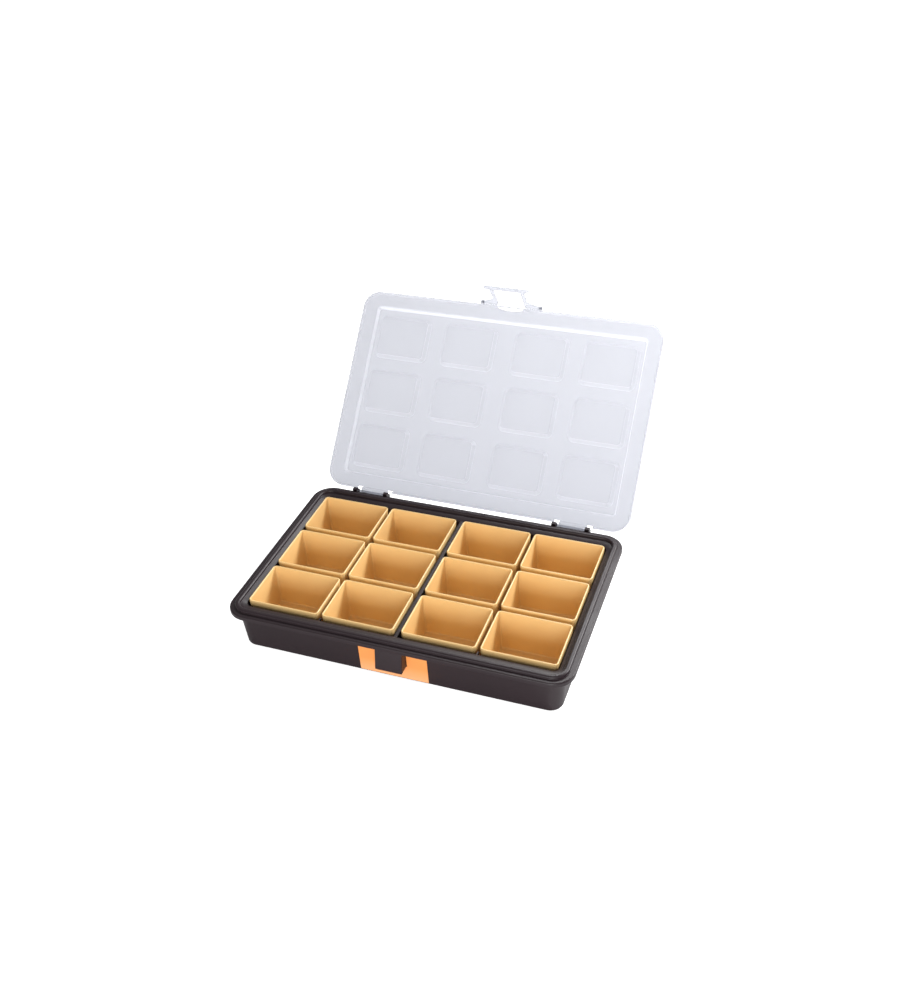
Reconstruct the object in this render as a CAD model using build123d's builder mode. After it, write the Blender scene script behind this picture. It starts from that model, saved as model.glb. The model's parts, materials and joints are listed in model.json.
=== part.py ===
from build123d import *
from math import atan2, cos, degrees, radians
import os

# Compartment storage box: a shallow tray with twelve lift-out bins, a clear hinged lid and a lid latch.
# Millimetres. Origin at the centre of the tray's underside, +X along the long side, +Y to the hinge side.

# Tray
tray_length = 290.0
tray_width = 191.0
rim_height = 38.5
rim_corner_radius = 18.0
rim_plate = 2.2
skirt_drop = 4.0
skirt_wall = 1.8
rim_edge_round = 1.2
ridge_inset = 4.5
ridge_width = 4.4
ridge_rise = 2.5
ridge_round = 1.1
wall = 2.2
floor = 2.2
wall_inset_top = 7.0
wall_inset_foot = 9.3
foot_corner_radius = 8.5
foot_round = 1.8
lip_wall = 1.8
lip_drop = 4.0
partition_wall = 3.4
partition_gap_below_rim = 0.7
rib_wall = 1.6
rib_reach = 5.0
rib_gap_below_rim = 3.0
seat_rib_wall = 1.2
seat_rib_height = 2.5
seat_clearance = 0.6

# Bins, which share the tray's well between them
well_inset_side = 13.2
well_inset_end = 16.05
bin_rim_rise = 2.0
bin_wall = 1.4
bin_floor = 1.6
bin_draft = 1.8
bin_corner_radius = 3.2
bin_foot_radius = 2.6
bin_foot_round = 1.4
column_gap = 3.4
centre_gap = 6.4
row_gap = 5.0
well_gap_side = 1.2
well_gap_end = 2.6
well_corner_radius = 5.5

# Hinge
hinge_inset = 50.0
hinge_overhang = 3.1
hinge_drop = 3.3
lug_spacing = 30.0
lug_width = 4.0
lug_radius = 3.0
lug_rise = 2.4
lug_root = 0.9
hinge_pin_diameter = 2.6
hinge_pin_reach = 2.8
hinge_fit = 0.08
knuckle_radius = 2.4
knuckle_side_gap = 0.3
hinge_arm_wall = 2.0
lid_open_angle = 132.3

# Lid
lid_edge_inset = 1.0
lid_corner_radius = 16.0
lid_wall = 1.6
lid_seat_gap = 0.3
lid_ridge_gap = 0.4
lid_raised_inset = 13.5
lid_raised_radius = 4.0
lid_rise = 5.0
lid_rise_slope = 1.2
pad_inset_side = 5.4
pad_inset_end = 3.6
pad_corner_radius = 5.6
pad_slope = 3.2
pad_gap = 1.0
lug_notch_clearance = 0.6
lug_notch_depth = 2.4
scallop_width = 33.0
scallop_depth = 3.2

# Latch
latch_plate = 1.8
latch_rim_gap = 0.3
latch_pivot_rise = 2.4
latch_foot_half = 26.2
latch_foot_inner = 13.4
latch_leg_wall = 4.0
latch_flare = 4.2
latch_window = 25.0
latch_window_length = 25.5
latch_bar_length = 43.0
latch_bar_width = 4.6
latch_bar_round = 1.5
latch_barrel_radius = 1.6
latch_pin_diameter = 1.8
latch_ear_wall = 2.8
latch_ear_radius = 2.2
latch_ear_gap = 0.3
latch_splay = 12.5

# Catch
catch_side_gap = 1.15
catch_clearance = 0.3
catch_lip_reach = 2.0
catch_lip_land = 1.4
catch_top_inset = 0.3
catch_root = 1.0

# Front label
label_thickness = 0.3
label_adhesive = 0.05
label_length = 58.0
label_catch_gap = 0.4
label_foot_gap = 2.0
label_top_gap = 1.0

# Sizes worked out from the ones above
half_width = tray_width / 2
ridge_top = rim_height + ridge_rise
bin_rim = rim_height + bin_rim_rise
well_length = tray_length - 2 * well_inset_side
well_width = tray_width - 2 * well_inset_end
bin_length = (well_length - 2 * well_gap_side - centre_gap - 2 * column_gap) / 4
bin_width = (well_width - 2 * well_gap_end - 2 * row_gap) / 3
column_pitch = bin_length + column_gap
row_pitch = bin_width + row_gap
inner_column = (bin_length + centre_gap) / 2
columns_x = [-inner_column - column_pitch, -inner_column, inner_column, inner_column + column_pitch]
rows_y = [row_pitch, 0.0, -row_pitch]
wall_run = wall_inset_foot - wall_inset_top
shelf_underside = rim_height - rim_plate


def wall_inset(height):
    """Distance from the rim's edge to the drafted outer wall at a height."""
    return wall_inset_foot - wall_run * height / rim_height


# Tray: drafted shell, flanged rim with a raised ridge, partition, locating ribs, hinge lugs and catch
hinge_y = half_width + hinge_overhang
hinge_z = rim_height - hinge_drop
hinge_offset = tray_length / 2 - hinge_inset
hinge_centres = [-hinge_offset, hinge_offset]
lug_centres = [x + side * lug_spacing / 2 for x in hinge_centres for side in (-1, 1)]
lug_top = rim_height + lug_rise
pivot_y = -(half_width + latch_rim_gap + latch_plate / 2)
pivot_z = rim_height + latch_pivot_rise
catch_half = latch_window / 2 - catch_side_gap
catch_lip = pivot_z - latch_window_length + catch_clearance
catch_front = half_width + catch_lip_reach
floor_inset = wall_inset(floor) + wall
shelf_inset = wall_inset(shelf_underside) + wall
rib_top = rim_height - rib_gap_below_rim
partition_top = rim_height - partition_gap_below_rim
rib_lines = [-inner_column - column_pitch / 2, inner_column + column_pitch / 2]
rib_inner = well_width / 2 - rib_reach

with BuildPart() as tray:
    with BuildSketch(Plane.XY):
        RectangleRounded(
            tray_length - 2 * wall_inset_foot, tray_width - 2 * wall_inset_foot, foot_corner_radius
        )
    with BuildSketch(Plane.XY.offset(rim_height)):
        RectangleRounded(
            tray_length - 2 * wall_inset_top,
            tray_width - 2 * wall_inset_top,
            rim_corner_radius - wall_inset_top,
        )
    loft(ruled=True)
    fillet(tray.edges().group_by(Axis.Z)[0], foot_round)

    with BuildSketch(Plane.XY.offset(rim_height - skirt_drop)):
        RectangleRounded(tray_length, tray_width, rim_corner_radius)
    extrude(amount=skirt_drop)
    fillet(tray.edges().group_by(Axis.Z)[-1], rim_edge_round)

    with BuildSketch(Plane.XY.offset(rim_height)):
        RectangleRounded(
            tray_length - 2 * ridge_inset, tray_width - 2 * ridge_inset, rim_corner_radius - ridge_inset
        )
        RectangleRounded(
            tray_length - 2 * (ridge_inset + ridge_width),
            tray_width - 2 * (ridge_inset + ridge_width),
            rim_corner_radius - ridge_inset - ridge_width,
            mode=Mode.SUBTRACT,
        )
    extrude(amount=ridge_rise)
    fillet(tray.edges().group_by(Axis.Z)[-1], ridge_round)

    with BuildSketch(Plane.XY.offset(rim_height - skirt_drop)):
        RectangleRounded(
            tray_length - 2 * skirt_wall, tray_width - 2 * skirt_wall, rim_corner_radius - skirt_wall
        )
        RectangleRounded(
            tray_length - 2 * wall_inset_top,
            tray_width - 2 * wall_inset_top,
            rim_corner_radius - wall_inset_top,
            mode=Mode.SUBTRACT,
        )
    extrude(amount=skirt_drop - rim_plate, mode=Mode.SUBTRACT)

    with BuildSketch(Plane.XY.offset(floor)):
        RectangleRounded(
            tray_length - 2 * floor_inset, tray_width - 2 * floor_inset, foot_corner_radius - wall
        )
    with BuildSketch(Plane.XY.offset(shelf_underside)):
        RectangleRounded(
            tray_length - 2 * shelf_inset,
            tray_width - 2 * shelf_inset,
            rim_corner_radius - wall_inset_top - wall,
        )
    loft(ruled=True, mode=Mode.SUBTRACT)

    with BuildSketch(Plane.XY.offset(shelf_underside)):
        RectangleRounded(
            well_length + 2 * lip_wall, well_width + 2 * lip_wall, well_corner_radius + lip_wall
        )
    extrude(amount=-lip_drop)
    with BuildSketch(Plane.XY.offset(ridge_top)):
        RectangleRounded(well_length, well_width, well_corner_radius)
    extrude(amount=-(ridge_top - shelf_underside + lip_drop), mode=Mode.SUBTRACT)

    # Centre partition and the short ribs between the outer columns, all drafted to meet the walls
    with BuildSketch(Plane.YZ):
        for side in (-1, 1):
            with BuildLine():
                Polyline(
                    (0, floor / 2),
                    (side * (half_width - wall_inset(0) - wall / 2), floor / 2),
                    (side * (half_width - wall_inset(shelf_underside) - wall / 2), shelf_underside),
                    (side * well_width / 2, shelf_underside),
                    (side * well_width / 2, partition_top),
                    (0, partition_top),
                    close=True,
                )
            make_face()
    extrude(amount=partition_wall / 2, both=True)
    for rib_x in rib_lines:
        with BuildSketch(Plane.YZ.offset(rib_x)):
            for side in (-1, 1):
                with BuildLine():
                    Polyline(
                        (side * rib_inner, floor / 2),
                        (side * (half_width - wall_inset(0) - wall / 2), floor / 2),
                        (side * (half_width - wall_inset(rib_top) - wall / 2), rib_top),
                        (side * rib_inner, rib_top),
                        close=True,
                    )
                make_face()
        extrude(amount=rib_wall / 2, both=True)

    # Low ribs on the floor that hold each bin's foot
    seat_length = bin_length - 2 * bin_draft + 2 * seat_clearance
    seat_width = bin_width - 2 * bin_draft + 2 * seat_clearance
    with BuildSketch(Plane.XY.offset(floor / 2)):
        with Locations([(x, y) for x in columns_x for y in rows_y]):
            Rectangle(seat_length + 2 * seat_rib_wall, seat_width + 2 * seat_rib_wall)
            Rectangle(seat_length, seat_width, mode=Mode.SUBTRACT)
    extrude(amount=floor / 2 + seat_rib_height)

    # Catch: a ramp that fills the latch's window, with a flat lip that the latch's bar snaps under
    with BuildSketch(Plane.YZ):
        with BuildLine():
            Polyline(
                (-(half_width - wall_inset(catch_lip) - catch_root), catch_lip),
                (-catch_front, catch_lip),
                (-catch_front, catch_lip + catch_lip_land),
                (-(half_width - catch_top_inset), rim_height - skirt_drop),
                (-(half_width - catch_top_inset), rim_height - rim_plate),
                (-(half_width - wall_inset(rim_height) - catch_root), rim_height - rim_plate),
                close=True,
            )
        make_face()
    extrude(amount=catch_half, both=True)

    # Hinge lugs on the back edge, with a bore for each of the lid's pins
    for lug_x in lug_centres:
        with BuildSketch(Plane.YZ.offset(lug_x)):
            with Locations((hinge_y, hinge_z)):
                Circle(lug_radius)
            with BuildLine():
                Polyline(
                    (half_width - lug_root, rim_height - skirt_drop),
                    (hinge_y, hinge_z - lug_radius),
                    (hinge_y, lug_top - lug_root),
                    (hinge_y - lug_root, lug_top),
                    (half_width + lug_root / 2, lug_top),
                    (half_width - lug_root, rim_height - rim_edge_round),
                    close=True,
                )
            make_face()
            with Locations((hinge_y, hinge_z)):
                Circle(hinge_pin_diameter / 2 + hinge_fit, mode=Mode.SUBTRACT)
        extrude(amount=lug_width / 2, both=True)

tray.part.label = "tray"

# Lid, drawn closed over the tray and turned back about the hinge by its open angle
lid_place = Pos(0, hinge_y, hinge_z) * Rot(X=-lid_open_angle) * Pos(0, -hinge_y, -hinge_z)
lid_frame = Plane(lid_place)
lid_length = tray_length - 2 * lid_edge_inset
lid_width = tray_width - 2 * lid_edge_inset
lid_foot = rim_height + lid_seat_gap
lid_border = ridge_top + lid_ridge_gap
lid_panel = lid_border + lid_rise
lid_top = lid_panel + lid_wall
pad_face = bin_rim + pad_gap
raised_length = lid_length - 2 * lid_raised_inset
raised_width = lid_width - 2 * lid_raised_inset
pad_length = bin_length - 2 * pad_inset_side
pad_width = bin_width - 2 * pad_inset_end
arm_length = lug_spacing - lug_width - 2 * knuckle_side_gap
scallop_radius = ((scallop_width / 2) ** 2 + scallop_depth**2) / (2 * scallop_depth)
pad_places = [(x, y) for x in columns_x for y in rows_y]
ear_x = latch_foot_half + latch_ear_gap + latch_ear_wall / 2

with BuildPart() as lid:
    with BuildSketch(lid_frame.offset(lid_foot)):
        RectangleRounded(lid_length, lid_width, lid_corner_radius)
    extrude(amount=lid_border + lid_wall - lid_foot)
    with BuildSketch(lid_frame.offset(lid_border)):
        RectangleRounded(
            raised_length + 2 * lid_rise_slope,
            raised_width + 2 * lid_rise_slope,
            lid_raised_radius + lid_rise_slope,
        )
    with BuildSketch(lid_frame.offset(lid_top)):
        RectangleRounded(raised_length, raised_width, lid_raised_radius)
    loft(ruled=True)

    with BuildSketch(lid_frame.offset(lid_foot)):
        RectangleRounded(
            lid_length - 2 * lid_wall, lid_width - 2 * lid_wall, lid_corner_radius - lid_wall
        )
    extrude(amount=lid_border - lid_foot, mode=Mode.SUBTRACT)
    with BuildSketch(lid_frame.offset(lid_border - lid_wall)):
        RectangleRounded(
            raised_length + 2 * lid_rise_slope - 2 * lid_wall,
            raised_width + 2 * lid_rise_slope - 2 * lid_wall,
            lid_raised_radius + lid_rise_slope - lid_wall,
        )
    with BuildSketch(lid_frame.offset(lid_panel)):
        RectangleRounded(
            raised_length - 2 * lid_wall, raised_width - 2 * lid_wall, lid_raised_radius - lid_wall
        )
    loft(ruled=True, mode=Mode.SUBTRACT)

    # One dished pad over each bin
    for pad_place in pad_places:
        with BuildSketch(lid_frame.offset(lid_panel + lid_wall / 2)):
            with Locations(pad_place):
                RectangleRounded(pad_length, pad_width, pad_corner_radius)
        with BuildSketch(lid_frame.offset(pad_face)):
            with Locations(pad_place):
                RectangleRounded(
                    pad_length - 2 * pad_slope, pad_width - 2 * pad_slope, pad_corner_radius - pad_slope
                )
        loft(ruled=True)
        with BuildSketch(lid_frame.offset(lid_top)):
            with Locations(pad_place):
                RectangleRounded(
                    pad_length - 2 * lid_wall, pad_width - 2 * lid_wall, pad_corner_radius - lid_wall
                )
        with BuildSketch(lid_frame.offset(pad_face + lid_wall)):
            with Locations(pad_place):
                RectangleRounded(
                    pad_length - 2 * lid_wall - 2 * pad_slope,
                    pad_width - 2 * lid_wall - 2 * pad_slope,
                    pad_corner_radius - lid_wall - pad_slope,
                )
        loft(ruled=True, mode=Mode.SUBTRACT)

    # Notches that clear the tray's lugs, and the finger scallop at the front
    with BuildSketch(lid_frame.offset(lid_foot)):
        with Locations([(x, lid_width / 2) for x in lug_centres]):
            Rectangle(lug_width + 2 * lug_notch_clearance, 2 * lug_notch_depth)
        with Locations((0, -lid_width / 2 + scallop_depth - scallop_radius)):
            Circle(scallop_radius)
    extrude(amount=lid_border + lid_wall - lid_foot, mode=Mode.SUBTRACT)

    # Hinge arms, knuckles and pins
    for arm_x in hinge_centres:
        with BuildSketch(Plane(lid_place * Pos(arm_x, 0, 0) * Rot(Y=90) * Rot(Z=90))):
            with BuildLine():
                Polyline(
                    (lid_width / 2 - lid_wall, lid_foot),
                    (hinge_y + knuckle_radius - hinge_arm_wall, lid_foot),
                    (hinge_y + knuckle_radius - hinge_arm_wall, hinge_z),
                    (hinge_y + knuckle_radius, hinge_z),
                    (hinge_y + knuckle_radius, lid_foot + hinge_arm_wall),
                    (lid_width / 2 - lid_wall, lid_foot + hinge_arm_wall),
                    close=True,
                )
            make_face()
            with Locations((hinge_y, hinge_z)):
                Circle(knuckle_radius)
        extrude(amount=arm_length / 2, both=True)
        with BuildSketch(Plane(lid_place * Pos(arm_x, 0, 0) * Rot(Y=90) * Rot(Z=90))):
            with Locations((hinge_y, hinge_z)):
                Circle(hinge_pin_diameter / 2)
        extrude(amount=arm_length / 2 + knuckle_side_gap + hinge_pin_reach, both=True)

    # Ears that carry the latch
    for side in (-1, 1):
        with BuildSketch(Plane(lid_place * Pos(side * ear_x, 0, 0) * Rot(Y=90) * Rot(Z=90))):
            with Locations((pivot_y, pivot_z)):
                Circle(latch_ear_radius)
            with Locations(((pivot_y - lid_width / 2 + lid_wall) / 2, pivot_z)):
                Rectangle(-pivot_y - lid_width / 2 + lid_wall, 2 * latch_ear_radius)
            with Locations((pivot_y, pivot_z)):
                Circle(latch_pin_diameter / 2 + hinge_fit, mode=Mode.SUBTRACT)
        extrude(amount=latch_ear_wall / 2, both=True)

lid.part.label = "lid"

# Latch: two legs and a finger bar round a window, hung from the lid's front edge and splayed outwards
latch_place = lid_place * Pos(0, pivot_y, pivot_z) * Rot(X=-latch_splay)
latch_face = Plane(latch_place * Rot(X=90)).offset(-latch_plate / 2)
latch_side = Plane(latch_place * Rot(Y=90) * Rot(Z=90))
leg_outer = latch_window / 2 + latch_leg_wall
bar_middle = -latch_window_length - latch_bar_width / 2

with BuildPart() as latch:
    with BuildSketch(latch_face):
        for side in (-1, 1):
            with BuildLine():
                Polyline(
                    (side * latch_foot_inner, 0),
                    (side * latch_foot_half, 0),
                    (side * latch_foot_half, -latch_flare / 2),
                    (side * leg_outer, -2 * latch_flare),
                    (side * leg_outer, bar_middle),
                    (side * latch_window / 2, bar_middle),
                    (side * latch_window / 2, -latch_flare),
                    close=True,
                )
            make_face()
        with Locations((0, bar_middle)):
            RectangleRounded(latch_bar_length, latch_bar_width, latch_bar_round)
    extrude(amount=latch_plate)
    for side in (-1, 1):
        with BuildSketch(latch_side.offset(side * latch_foot_inner)):
            Circle(latch_barrel_radius)
        extrude(amount=side * (latch_foot_half - latch_foot_inner))
        with BuildSketch(latch_side.offset(side * latch_foot_half)):
            Circle(latch_pin_diameter / 2)
        extrude(amount=side * (latch_ear_gap + latch_ear_wall))

latch.part.label = "latch"

# Bins: tapered open cups, one solid each
bins = []
for row, row_y in enumerate(rows_y, start=1):
    for column, column_x in enumerate(columns_x, start=1):
        with BuildPart() as storage_bin:
            with BuildSketch(Plane.XY.offset(floor)):
                with Locations((column_x, row_y)):
                    RectangleRounded(
                        bin_length - 2 * bin_draft, bin_width - 2 * bin_draft, bin_foot_radius
                    )
            with BuildSketch(Plane.XY.offset(bin_rim)):
                with Locations((column_x, row_y)):
                    RectangleRounded(bin_length, bin_width, bin_corner_radius)
            loft(ruled=True)
            fillet(storage_bin.edges().group_by(Axis.Z)[0], bin_foot_round)
            with BuildSketch(Plane.XY.offset(floor + bin_floor)):
                with Locations((column_x, row_y)):
                    RectangleRounded(
                        bin_length - 2 * bin_draft - 2 * bin_wall,
                        bin_width - 2 * bin_draft - 2 * bin_wall,
                        bin_foot_radius - bin_wall,
                    )
            with BuildSketch(Plane.XY.offset(bin_rim)):
                with Locations((column_x, row_y)):
                    RectangleRounded(
                        bin_length - 2 * bin_wall, bin_width - 2 * bin_wall, bin_corner_radius - bin_wall
                    )
            loft(ruled=True, mode=Mode.SUBTRACT)
        storage_bin.part.label = f"bin_r{row}_c{column}"
        bins.append(storage_bin.part)

# Front label: a blank film on the drafted front wall, each side of the catch and in a strip below it
wall_slant = degrees(atan2(wall_run, rim_height))
front_wall = Plane(Pos(0, -(half_width - wall_inset_foot), 0) * Rot(X=90 + wall_slant))
along_wall = 1 / cos(radians(wall_slant))
label_foot = label_foot_gap * along_wall
label_top = (rim_height - skirt_drop - label_top_gap) * along_wall
strip_top = (catch_lip - label_catch_gap) * along_wall

with BuildPart() as front_label:
    with BuildSketch(front_wall.offset(label_adhesive)):
        with Locations((0, (label_foot + label_top) / 2)):
            Rectangle(label_length, label_top - label_foot)
        with Locations((0, (strip_top + label_top) / 2)):
            Rectangle(2 * (catch_half + label_catch_gap), label_top - strip_top, mode=Mode.SUBTRACT)
    extrude(amount=label_thickness)

front_label.part.label = "front_label"

os.makedirs("parts", exist_ok=True)
for piece in [tray.part, lid.part, latch.part, front_label.part, *bins]:
    export_step(piece, f"parts/{piece.label}.step")
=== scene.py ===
import json
from math import cos, pi, radians, sin

import bmesh
import bpy
from mathutils import Matrix, Vector


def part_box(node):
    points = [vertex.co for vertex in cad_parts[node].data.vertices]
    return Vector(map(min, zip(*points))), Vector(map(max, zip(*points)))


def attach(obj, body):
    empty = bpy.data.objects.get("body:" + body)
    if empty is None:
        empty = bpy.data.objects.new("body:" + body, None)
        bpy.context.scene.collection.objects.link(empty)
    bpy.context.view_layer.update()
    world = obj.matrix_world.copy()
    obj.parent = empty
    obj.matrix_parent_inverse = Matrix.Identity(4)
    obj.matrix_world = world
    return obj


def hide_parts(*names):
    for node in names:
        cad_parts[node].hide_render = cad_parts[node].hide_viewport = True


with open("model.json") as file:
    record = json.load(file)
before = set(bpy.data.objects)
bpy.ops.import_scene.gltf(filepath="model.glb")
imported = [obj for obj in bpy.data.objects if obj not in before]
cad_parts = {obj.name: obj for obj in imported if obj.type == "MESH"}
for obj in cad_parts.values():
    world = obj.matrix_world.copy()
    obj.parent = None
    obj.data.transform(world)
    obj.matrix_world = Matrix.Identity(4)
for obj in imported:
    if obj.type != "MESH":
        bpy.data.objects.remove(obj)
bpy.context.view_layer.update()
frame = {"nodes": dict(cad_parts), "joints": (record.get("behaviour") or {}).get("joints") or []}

# Sizes in metres, in the part's own frame: origin under the tray's middle, +X along it, +Y to the hinge.
MM = 0.001

# Tray
TRAY_LENGTH = 290 * MM
TRAY_WIDTH = 191 * MM
RIM_HEIGHT = 38.5 * MM
RIM_CORNER = 18 * MM
RIM_PLATE = 2.2 * MM
RIM_ROUND = 1.2 * MM
SKIRT_DROP = 4 * MM
SKIRT_WALL = 1.8 * MM
SKIRT_ROUND = 0.4 * MM
RIDGE_INSET = 4.5 * MM
RIDGE_WIDTH = 4.4 * MM
RIDGE_RISE = 2.5 * MM
RIDGE_ROUND = 1.6 * MM
RIDGE_FOOT = 0.4 * MM
SHELF_DIP = 1.2 * MM
GROOVE_ROUND = 0.8 * MM
INNER_WALL = 2.4 * MM
FLOOR_ROUND = 2 * MM
WALL = 2.2 * MM
FLOOR = 2.2 * MM
WALL_INSET_TOP = 7 * MM
WALL_INSET_FOOT = 9.3 * MM
FOOT_ROUND = 1.8 * MM
WELL_INSET_SIDE = 13.2 * MM
WELL_INSET_END = 16.05 * MM
WELL_ROUND = 0.7 * MM
LIP_DROP = 4 * MM
LIP_WALL = 1.8 * MM
PARTITION_WALL = 3.4 * MM
PARTITION_TOP = 37.1 * MM
PARTITION_ROUND = 0.6 * MM
RIB_WALL = 1.6 * MM
RIB_REACH = 5 * MM
RIB_TOP = 35.5 * MM
RIB_ROUND = 0.4 * MM
RIB_LINES = (-66.9 * MM, 66.9 * MM)
SEAT_WALL = 1.2 * MM
SEAT_HEIGHT = 2.5 * MM
SEAT_INSET = 1.2 * MM
SEAT_ROUND = 0.3 * MM

# Bins
BIN_RIM = 40.5 * MM
BIN_WALL = 1.4 * MM
BIN_FLOOR = 1.6 * MM
BIN_DRAFT = 1.5 * MM
BIN_CORNER = 3.2 * MM
BIN_RIM_ROUND = 0.6 * MM
BIN_FOOT_ROUND = 1.4 * MM
BIN_INNER_ROUND = 1.4 * MM
BIN_LAND = 1.1 * MM

# Lid, in its closed place
LID_EDGE_INSET = 1 * MM
LID_CORNER = 16 * MM
LID_WALL = 1.6 * MM
LID_FOOT = 38.8 * MM
LID_BORDER_TOP = 43 * MM
LID_RAISED_INSET = 13.5 * MM
LID_RISE = 5 * MM
LID_RISE_SLOPE = 1.2 * MM
LID_ROUND = 0.7 * MM
LID_FOOT_ROUND = 0.4 * MM
LID_RAISED_CORNER = 5 * MM
PAD_INSET_SIDE = 5.4 * MM
PAD_INSET_END = 3.6 * MM
PAD_CORNER = 5.6 * MM
PAD_FACE = 41.5 * MM
PAD_SLOPE = 3.2 * MM
PAD_OVERLAP = 0.05 * MM
ARM_ROUND = 0.35 * MM
EAR_ROUND = 0.3 * MM
SEAM = 0.06 * MM
SCALLOP_WIDTH = 33 * MM
SCALLOP_DEPTH = 3.2 * MM
SCALLOP_SIDES = 160
SCALLOP_CUT = 8 * MM
EAR_RADIUS = 2.2 * MM
EAR_WALL = 2.8 * MM

# Hinge
LUG_SPACING = 30 * MM
LUG_WIDTH = 4 * MM
LUG_RADIUS = 3 * MM
LUG_TOP = 40.9 * MM
LUG_ROOT = 1.2 * MM
LUG_ROUND = 0.5 * MM
LUG_BORE = 1.38 * MM
HINGE_INSET = 50 * MM
KNUCKLE_RADIUS = 2.4 * MM
KNUCKLE_GAP = 0.3 * MM
PIN_RADIUS = 1.3 * MM
PIN_REACH = 2.8 * MM
ARM_WALL = 2 * MM
NOTCH_CLEARANCE = 0.6 * MM
NOTCH_DEPTH = 2.4 * MM

# Latch
LATCH_PLATE = 1.8 * MM
LATCH_FOOT = 26.2 * MM
LATCH_FOOT_INNER = 13.4 * MM
LATCH_LEG = 4 * MM
LATCH_FLARE = 4.2 * MM
LATCH_FLARE_SHARE = 0.45
LATCH_WINDOW = 25 * MM
LATCH_WINDOW_LENGTH = 25.5 * MM
LATCH_BAR_LENGTH = 43 * MM
LATCH_BAR_WIDTH = 4.6 * MM
LATCH_BAR_CORNER = 1.5 * MM
LATCH_BARREL = 1.6 * MM
LATCH_PIN = 0.9 * MM
LATCH_PIN_FIT = 0.08 * MM
LATCH_EAR_GAP = 0.3 * MM
LATCH_ROUND = 0.45 * MM

# Catch
CATCH_HALF = 11.35 * MM
CATCH_LIP = 15.7 * MM
CATCH_LIP_LAND = 1.4 * MM
CATCH_LIP_REACH = 2 * MM
CATCH_TOP_INSET = 0.3 * MM
CATCH_ROUND = 0.7 * MM

# Steps in a quarter round, in an upright corner and in the finger bar's corners, and the sides of a round rod
ROUND_STEPS = 5
CORNER_STEPS = 14
BAR_STEPS = 6
ROD_SIDES = 32

# The clear pieces' edges over this many degrees stay crisp
CRISP_ANGLE = 12

# How near counts as the same place, how near points are merged, and how straight counts as along an axis
NEAR = 0.01 * MM
LEVEL = 0.001 * MM
WELD = 0.002 * MM
ALONG = 0.9

hinge = next(joint for joint in frame["joints"] if joint["name"] == "lid_hinge")
latch_joint = next(joint for joint in frame["joints"] if joint["name"] == "latch_pivot")
hinge_at = Vector(hinge["pos_m"])
lid_turn = radians(hinge["range_deg"][0])
latch_splay = radians(latch_joint["range_deg"][0])
lid_place = Matrix.Translation(hinge_at) @ Matrix.Rotation(lid_turn, 4, "X") @ Matrix.Translation(-hinge_at)
latch_at = Vector(latch_joint["pos_m"])
latch_closed_at = lid_place.inverted() @ latch_at
latch_place = Matrix.Translation(latch_at) @ Matrix.Rotation(lid_turn + latch_splay, 4, "X")
bin_names = sorted(name for name in frame["nodes"] if name.startswith("bin_"))
hinge_centres = (-(TRAY_LENGTH / 2 - HINGE_INSET), TRAY_LENGTH / 2 - HINGE_INSET)


# How the pieces are shaped


def deselect():
    """Leaves edit mode and clears the selection."""
    if bpy.context.mode != "OBJECT":
        bpy.ops.object.mode_set(mode="OBJECT")
    bpy.ops.object.select_all(action="DESELECT")


def block(name, low, high):
    """Adds a cube cut to the box between two corners, and leaves it in edit mode."""
    deselect()
    low, high = Vector(low), Vector(high)
    bpy.ops.mesh.primitive_cube_add(size=1)
    piece = bpy.context.object
    piece.name = name
    bpy.ops.object.mode_set(mode="EDIT")
    bpy.ops.transform.resize(value=high - low)
    bpy.ops.transform.translate(value=(low + high) / 2)
    return piece


def rod(name, radius, low, high, at):
    """Adds a cylinder along X between two ends, round a centre (y, z), and leaves it in edit mode."""
    deselect()
    bpy.ops.mesh.primitive_cylinder_add(vertices=ROD_SIDES, radius=radius, depth=high - low)
    piece = bpy.context.object
    piece.name = name
    piece.data.transform(Matrix.Translation(((low + high) / 2, *at)) @ Matrix.Rotation(pi / 2, 4, "Y"))
    bpy.ops.object.mode_set(mode="EDIT")
    return piece


def pick(kind, test):
    """Selects the vertices, edges or faces whose middle and direction pass the test."""
    bpy.ops.mesh.select_mode(type=kind)
    bpy.ops.mesh.select_all(action="DESELECT")
    mesh = bmesh.from_edit_mesh(bpy.context.edit_object.data)
    mesh.normal_update()
    if kind == "VERT":
        for vert in mesh.verts:
            vert.select_set(test(vert.co, vert.normal))
    if kind == "EDGE":
        for edge in mesh.edges:
            middle = (edge.verts[0].co + edge.verts[1].co) / 2
            edge.select_set(test(middle, (edge.verts[1].co - edge.verts[0].co).normalized()))
    if kind == "FACE":
        for face in mesh.faces:
            face.select_set(test(face.calc_center_median(), face.normal))
    mesh.select_flush_mode()
    bmesh.update_edit_mesh(bpy.context.edit_object.data)


def picked():
    """The lowest and highest corner of what is selected."""
    mesh = bmesh.from_edit_mesh(bpy.context.edit_object.data)
    points = [vert.co for vert in mesh.verts if vert.select]
    low = Vector(min(point[axis] for point in points) for axis in range(3))
    high = Vector(max(point[axis] for point in points) for axis in range(3))
    return low, high


def grow(height=0.0):
    """Extrudes the picked level face and moves it up or down."""
    bpy.ops.mesh.extrude_region_move()
    if height:
        bpy.ops.transform.translate(value=(0, 0, height))


def walk(*points, facing=1):
    """Carries the picked level face through (inset, height) points, starting from the first."""
    for (inset, height), (next_inset, next_height) in zip(points, points[1:]):
        if next_inset - inset > LEVEL:
            bpy.ops.mesh.inset(thickness=next_inset - inset, depth=facing * (next_height - height))
        else:
            grow(next_height - height)


def quarter(start, end, upright_first):
    """Points of a quarter round after its start, which leaves the start upright or level."""
    points = []
    for count in range(1, ROUND_STEPS + 1):
        turn = pi / 2 * count / ROUND_STEPS
        across, up = (1 - cos(turn), sin(turn)) if upright_first else (sin(turn), 1 - cos(turn))
        points.append((start[0] + (end[0] - start[0]) * across, start[1] + (end[1] - start[1]) * up))
    return points


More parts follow.
